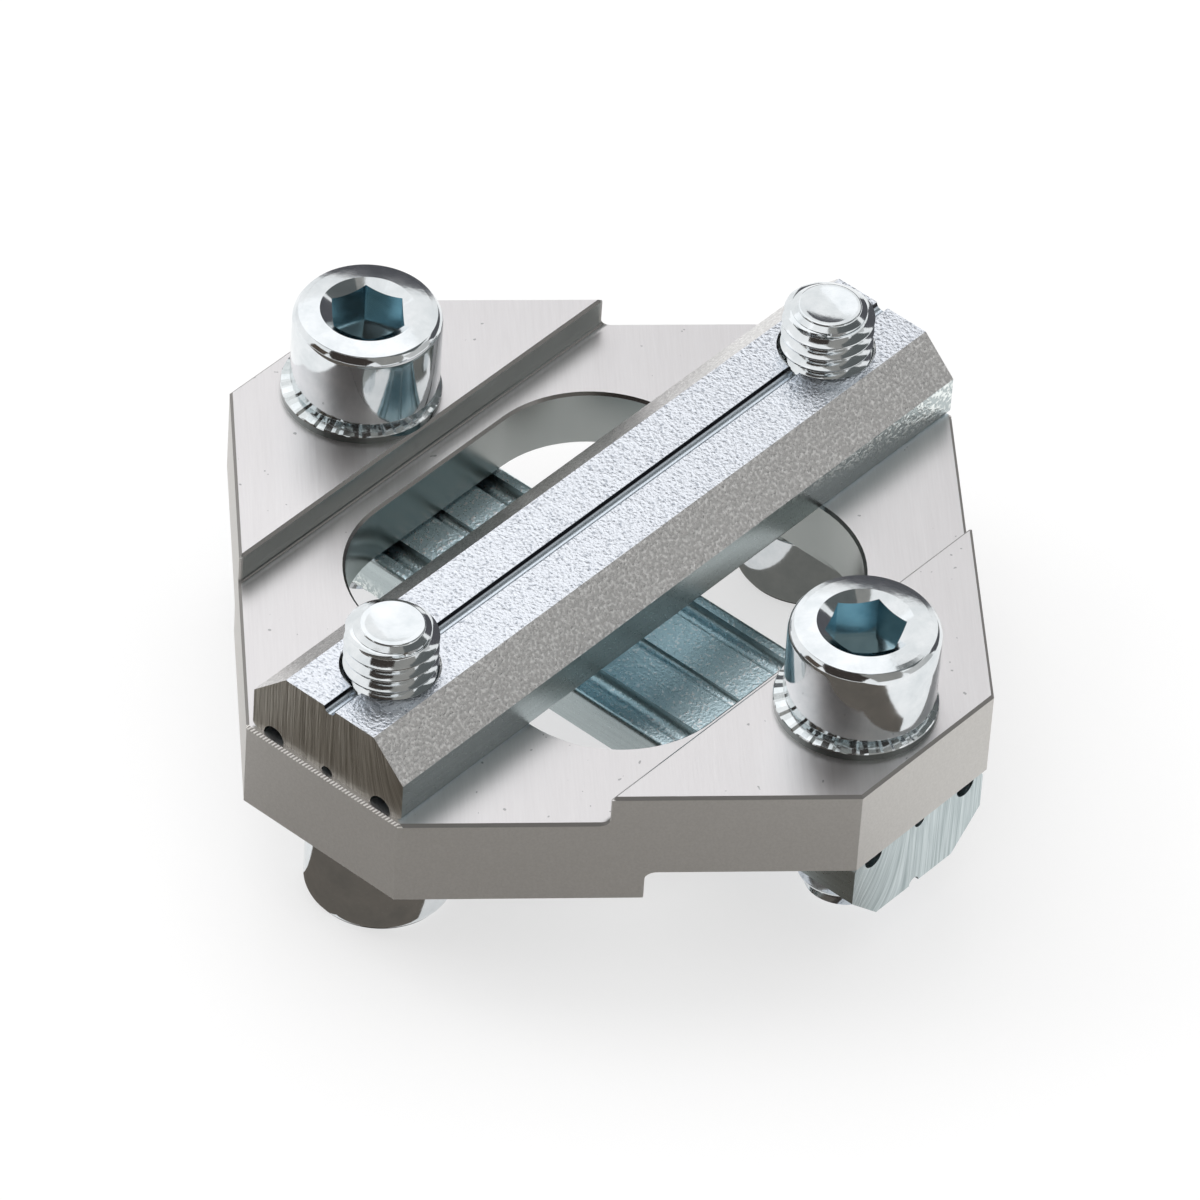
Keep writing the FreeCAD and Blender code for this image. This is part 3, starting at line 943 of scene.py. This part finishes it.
# %% Room and lamps
world = bpy.data.worlds.new("room")
bpy.context.scene.world = world
world.use_nodes = True
room = Nodes(world.node_tree)
lighting = room.add("ShaderNodeBackground", {}, {"Color": (1, 1, 1), "Strength": 0.80})
backdrop = room.add("ShaderNodeBackground", {}, {"Color": (1, 1, 1), "Strength": 1.0})
room.surface(room.add("ShaderNodeMixShader", {}, {0: room.seen_directly(), 1: lighting, 2: backdrop}))


def lamp(name, azimuth, elevation, distance, size, power):
    light = bpy.data.lights.new(name, "AREA")
    light.shape = "SQUARE"
    light.size = size
    light.energy = power
    holder = bpy.data.objects.new(name, light)
    bpy.context.scene.collection.objects.link(holder)
    holder.matrix_world = facing_middle(toward(azimuth, elevation), distance)
    holder.visible_glossy = False


lamp("softbox_back", -25, 60, 1.2, 1.1, 5)
lamp("softbox_left", -75, 40, 1.4, 0.6, 3)
bpy.context.scene.view_settings.view_transform = "Standard"
print("studio with", len(bpy.data.lights), "lamps")

# %% [markdown]
# Metal shows its surroundings, so what stands round the table matters as much as the lamps. Grey screens at
# the right and the back and dark ones behind the camera and in front give the metal its dark tones, and a
# white one high at the left of the back gives it its bright ones. Dark sheets on the table are painted shade:
# they stand in for the shade round and under the object, which the faces that look down mirror. Only
# reflections show them all. Each range is in degrees, counted as in toward, or in metres.

# %% Screens round the table
screen_distance = 0.6


def reflected_only(panel, name, colour):
    """Gives a panel a plain glow that nothing but a reflection shows."""
    panel.name = name
    cloth = Finish(name + "_cloth", {})
    cloth.surface(cloth.add("ShaderNodeEmission", {}, {"Color": colour, "Strength": 1.0}))
    panel.data.materials.append(cloth.material)
    panel.visible_camera = False
    panel.visible_diffuse = False
    panel.visible_shadow = False
    panel.visible_transmission = False


def screen(name, azimuths, elevations, colour):
    """A screen that covers a range of azimuths and of elevations."""
    azimuth, elevation = sum(azimuths) / 2, sum(elevations) / 2
    half_width = math.radians(azimuths[1] - azimuths[0]) / 2 * math.cos(math.radians(elevation))
    half_height = math.radians(elevations[1] - elevations[0]) / 2
    width, height = (2 * screen_distance * math.tan(half) for half in (half_width, half_height))
    panel = add(bpy.ops.mesh.primitive_plane_add, size=1)
    placement = facing_middle(toward(azimuth, elevation), screen_distance)
    panel.data.transform(placement @ Matrix.Diagonal((width, height, 1, 1)))
    reflected_only(panel, name, colour)


def sheet_on_table(name, rights, aways, colour):
    """A sheet on the table, from and to distances to the right of the middle and away from the camera."""
    height = cad_box[0][2] - 0.01 * mm
    middle = level_right * sum(rights) / 2 + level_away * sum(aways) / 2 + Vector((0, 0, height))
    turn = Matrix((level_right, level_away, Vector((0, 0, 1)))).transposed().to_4x4()
    panel = add(bpy.ops.mesh.primitive_plane_add, size=1)
    size = Matrix.Diagonal((rights[1] - rights[0], aways[1] - aways[0], 1, 1))
    panel.data.transform(Matrix.Translation(middle) @ turn @ size)
    reflected_only(panel, name, colour)


screen("screen_behind_camera", (168, 238), (2, 70), (0.050, 0.042, 0.038))
screen("screen_front_left", (238, 264), (2, 34), (0.10, 0.08, 0.065))
screen("screen_front_right", (118, 168), (2, 80), (0.30, 0.295, 0.28))
screen("screen_right", (74, 118), (2, 38), (0.56, 0.56, 0.555))
screen("screen_high_right", (18, 118), (40, 78), (0.12, 0.13, 0.13))
screen("screen_white", (-75, 17), (38, 82), (1.22, 1.22, 1.23))
screen("screen_low_back", (-14, 72), (1, 36), (0.10, 0.10, 0.11))
# Painted shade: dark sheets stand in for the shade on the table in front, at the left and under the plate.
sheet_on_table("sheet_in_front", (-600 * mm, 45 * mm), (-600 * mm, -27 * mm), (0.13, 0.115, 0.10))
sheet_on_table("sheet_at_left", (-600 * mm, -21 * mm), (-27 * mm, -21 * mm), (0.13, 0.115, 0.10))
sheet_on_table("sheet_under_plate", (10 * mm, 28 * mm), (0, 24 * mm), (0.15, 0.15, 0.14))
panels = [panel.name for panel in bpy.data.objects if panel.name.startswith(("screen", "sheet"))]
print("screens and sheets:", len(panels))
